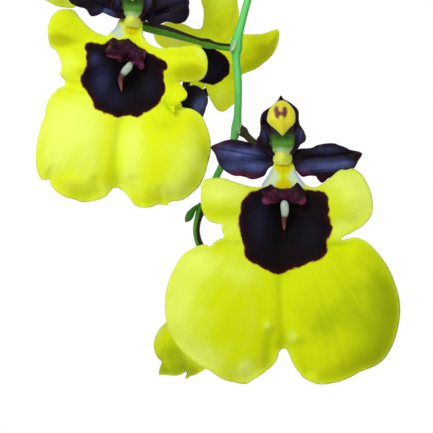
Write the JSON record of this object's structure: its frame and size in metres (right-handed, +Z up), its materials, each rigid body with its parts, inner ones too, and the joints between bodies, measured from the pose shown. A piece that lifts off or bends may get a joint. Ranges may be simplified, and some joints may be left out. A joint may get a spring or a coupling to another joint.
{
  "type": "potted oncidium orchid",
  "caption": "Small potted orchid: clay pot of bark, ribbed pseudobulbs, strap leaves and an arching stem of yellow, dark-centred flowers.",
  "frame": {"origin": "centre of the flat underside of the pot, on the surface it stands on", "axes": "+Z is up, the flower stem arches over towards -X, and the open flowers face -Y"},
  "size_m": [0.2097, 0.0949, 0.224],
  "materials": {
    "clay": "matte",
    "bark": "matte",
    "rhizome": "matte",
    "root": "matte",
    "bulb": "satin",
    "leaf": "satin",
    "sheath": "matte",
    "stem": "satin",
    "stalk": "satin",
    "lip": "satin",
    "tepal": "satin",
    "column": "satin"
  },
  "bodies": {
    "root": {"pot": "clay", "potting_bark": "bark", "rhizome": "rhizome", "root_1": "root", "root_2": "root", "pseudobulb_1": "bulb", "pseudobulb_2": "bulb", "pseudobulb_3": "bulb", "pseudobulb_4": "bulb", "leaf_1": "leaf", "leaf_2": "leaf", "leaf_3": "leaf", "leaf_4": "leaf", "leaf_5": "leaf", "leaf_6": "leaf", "bulb_sheath_1": "sheath", "bulb_sheath_2": "sheath", "flower_stem": "stem", "stem_bract_low": "sheath", "stem_bract_high": "sheath", "left_flower_bract": "sheath", "right_flower_bract": "sheath", "tip_bud": "stem", "right_flower_lip": "lip", "right_flower_column": "column", "right_flower_dorsal_sepal": "tepal", "right_flower_left_petal": "tepal", "right_flower_right_petal": "tepal", "right_flower_side_sepals": "tepal", "right_flower_stalk": "stalk", "left_flower_lip": "lip", "left_flower_column": "column", "left_flower_dorsal_sepal": "tepal", "left_flower_left_petal": "tepal", "left_flower_right_petal": "tepal", "left_flower_side_sepals": "tepal", "left_flower_stalk": "stalk", "back_flower_lip": "lip", "back_flower_column": "column", "back_flower_dorsal_sepal": "tepal", "back_flower_left_petal": "tepal", "back_flower_right_petal": "tepal", "back_flower_side_sepals": "tepal", "back_flower_stalk": "stalk", "lower_flower_lip": "lip", "lower_flower_column": "column", "lower_flower_dorsal_sepal": "tepal", "lower_flower_left_petal": "tepal", "lower_flower_right_petal": "tepal", "lower_flower_side_sepals": "tepal", "lower_flower_stalk": "stalk", "upper_flower_lip": "lip", "upper_flower_column": "column", "upper_flower_dorsal_sepal": "tepal", "upper_flower_left_petal": "tepal", "upper_flower_right_petal": "tepal", "upper_flower_side_sepals": "tepal", "upper_flower_stalk": "stalk"}
  },
  "joints": []
}
